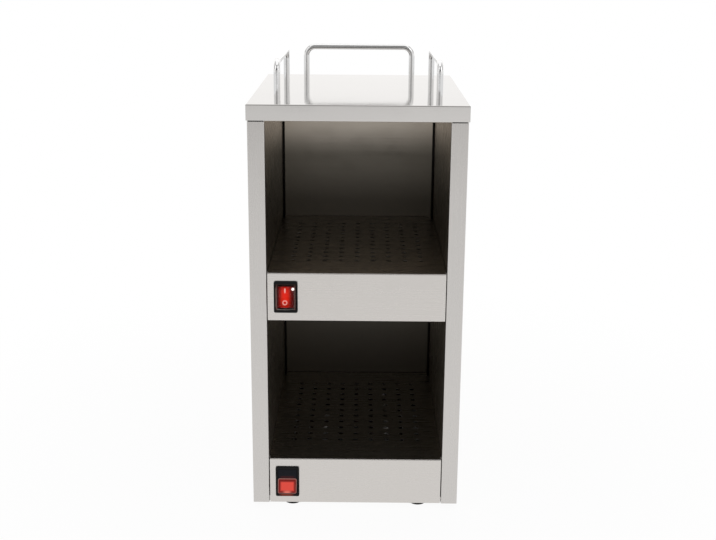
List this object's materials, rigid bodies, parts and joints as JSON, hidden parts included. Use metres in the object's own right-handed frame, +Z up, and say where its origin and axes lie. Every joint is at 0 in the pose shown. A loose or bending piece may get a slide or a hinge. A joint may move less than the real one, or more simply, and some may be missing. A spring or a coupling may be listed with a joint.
{
  "type": "plate warmer cabinet",
  "caption": "Open-front two-deck plate and cup warmer cabinet in folded stainless sheet, with perforated heated shelves, rocker switches, rod rails on top and rubber feet.",
  "frame": {"origin": "on the floor under the middle of the overall box", "axes": "+Z up, -Y towards the open front, +X to the right as seen from the front"},
  "size_m": [0.26, 0.3558, 0.558],
  "materials": {
    "brushed_sheet": "fine satin grain",
    "inner_sheet": "bright rolled sheet",
    "rail_rod": "polished rod",
    "plated_steel": "plated",
    "black_rubber": "matt",
    "black_plastic": "satin moulded",
    "gland_plastic": "moulded",
    "red_plastic": "lit from inside",
    "red_lens": "lit from inside",
    "clear_plastic": "clear flexible moulding",
    "brass": "stamped",
    "heater_steel": "heat toned sheath",
    "ceramic_white": "unglazed",
    "thermostat_black": "phenolic",
    "wire_sleeve": "heat proof sleeve"
  },
  "bodies": {
    "cabinet": {"top_cap": "brushed_sheet", "ceiling_panel": "inner_sheet", "left_side_panel": "brushed_sheet", "right_side_panel": "brushed_sheet", "back_panel": "brushed_sheet", "inner_back_panel": "inner_sheet", "bottom_plate": "inner_sheet", "upper_deck": "brushed_sheet", "lower_deck": "brushed_sheet", "upper_deck_cover": "inner_sheet", "side_rail_left": "rail_rod", "side_rail_right": "rail_rod", "back_rail": "rail_rod", "rail_screws": "plated_steel", "rail_washers": "plated_steel", "foot_front_left": "black_rubber", "foot_front_right": "black_rubber", "foot_rear_left": "black_rubber", "foot_rear_right": "black_rubber", "foot_screws": "plated_steel", "foot_nuts": "plated_steel", "bottom_plate_screws": "plated_steel", "back_panel_screws": "plated_steel", "deck_cover_screws": "plated_steel", "deck_rivets": "plated_steel", "switch_frame_upper": "black_plastic", "splash_cover_upper": "clear_plastic", "switch_terminals_upper": "brass", "switch_frame_lower": "black_plastic", "switch_terminals_lower": "brass", "heating_element_upper": "heater_steel", "element_terminals_upper": "ceramic_white", "element_bars_upper": "plated_steel", "element_clips_upper": "plated_steel", "thermostat_upper": "thermostat_black", "heating_element_lower": "heater_steel", "element_terminals_lower": "ceramic_white", "element_bars_lower": "plated_steel", "element_clips_lower": "plated_steel", "thermostat_lower": "thermostat_black", "thermostat_studs": "plated_steel", "terminal_block": "ceramic_white", "terminal_block_clamps": "brass", "earth_stud": "brass", "cable_gland": "gland_plastic", "gland_nut": "gland_plastic", "gland_seal": "black_rubber", "gland_locknut": "gland_plastic", "cable_grommet": "black_rubber", "wiring_upper": "wire_sleeve", "wiring_lower": "wire_sleeve"},
    "upper_rocker": {"rocker_upper": "red_plastic"},
    "lower_rocker": {"rocker_lower": "black_plastic", "rocker_lens_lower": "red_lens"}
  },
  "joints": [
    {"name": "upper_switch", "type": "hinge", "parent": "cabinet", "child": "upper_rocker", "pos_m": [-0.0855, -0.1689, 0.2802], "axis": [1, 0, 0], "range_deg": [0, 20]},
    {"name": "lower_switch", "type": "hinge", "parent": "cabinet", "child": "lower_rocker", "pos_m": [-0.0855, -0.1689, 0.0372], "axis": [1, 0, 0], "range_deg": [0, 20]}
  ]
}
